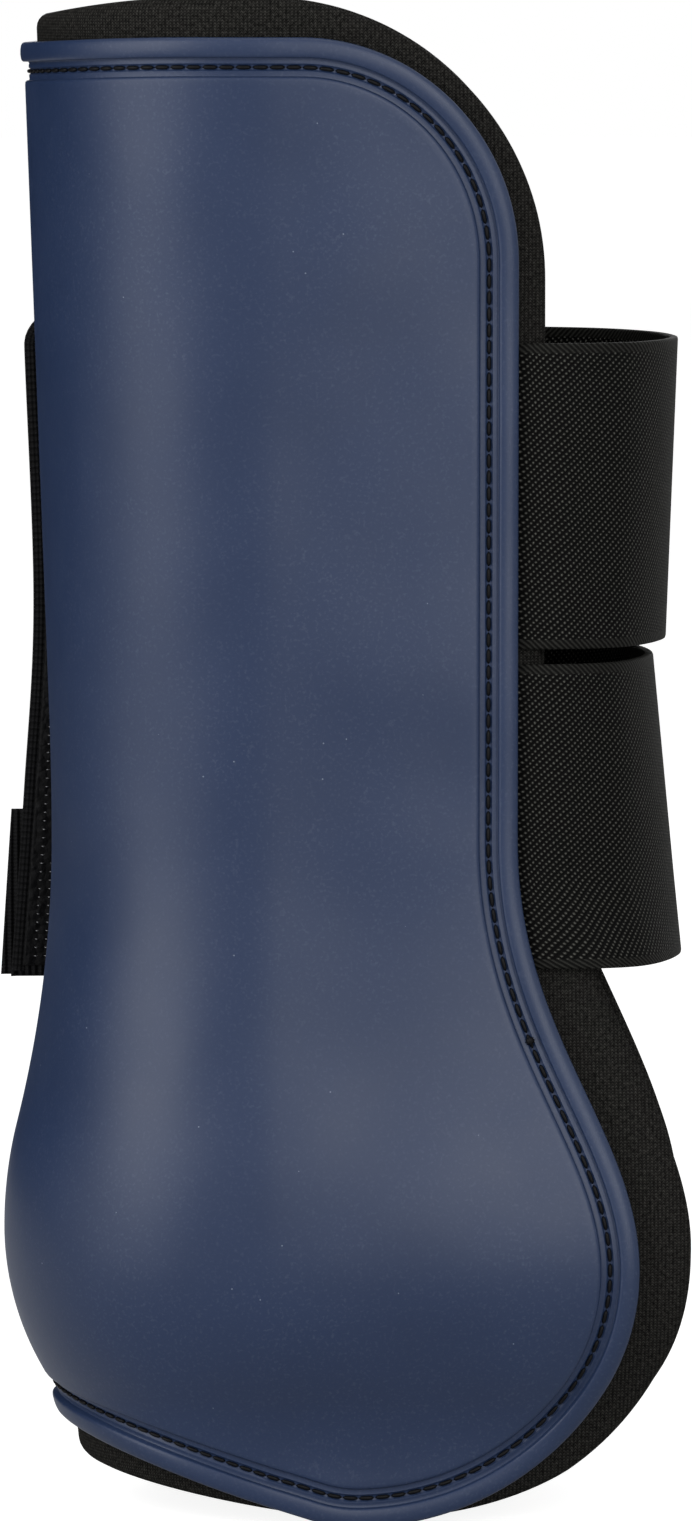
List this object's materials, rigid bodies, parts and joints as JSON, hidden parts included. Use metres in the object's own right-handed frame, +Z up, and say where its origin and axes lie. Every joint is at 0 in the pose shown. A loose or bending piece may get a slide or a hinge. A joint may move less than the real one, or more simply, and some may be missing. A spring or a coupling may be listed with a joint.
{
  "type": "tendon boot",
  "caption": "Open-front leg boot with a moulded shell, soft liner, elastic strap loops and a hook-and-loop side panel.",
  "frame": {"origin": "on the upright axis of the leg, level with the lowest point of the shell", "axes": "+Z up the leg, +X to the front of the leg where the boot is open, -Y the side the straps are sewn to"},
  "size_m": [0.1127, 0.0885, 0.248],
  "materials": {
    "moulded_shell": "satin moulded soft plastic, navy",
    "neoprene": "fine black knit jersey on neoprene foam",
    "elastic": "black woven elastic, twill face",
    "loop_pile": "black brushed loop pile",
    "hook_tape": "black hook tape",
    "woven_backing": "black ribbed woven tape"
  },
  "bodies": {
    "boot": {"shell": "moulded_shell", "liner": "neoprene", "loop_pad": "loop_pile", "upper_strap_tail": "elastic", "lower_strap_tail": "elastic"},
    "straps_near": {"upper_strap_near": "elastic", "lower_strap_near": "elastic"},
    "straps_far": {"upper_strap_far": "elastic", "lower_strap_far": "elastic"},
    "closure": {"hook_tape": "hook_tape", "closure_backing": "woven_backing", "upper_strap_end": "elastic", "lower_strap_end": "elastic", "pull_tab": "woven_backing"}
  },
  "joints": [
    {"name": "strap_swing", "type": "hinge", "parent": "boot", "child": "straps_near", "pos_m": [0.0383, -0.0363, 0.1419], "axis": [0, 0, -1], "range_deg": [0, 95]},
    {"name": "strap_unroll", "type": "hinge", "parent": "straps_near", "child": "straps_far", "pos_m": [0.0635, 0, 0.1419], "axis": [0, 0, -1], "range_deg": [0, 100]},
    {"name": "panel_peel", "type": "hinge", "parent": "straps_far", "child": "closure", "pos_m": [0.02325, 0.0431, 0.1401], "axis": [0, 0, -1], "range_deg": [0, 60]}
  ]
}
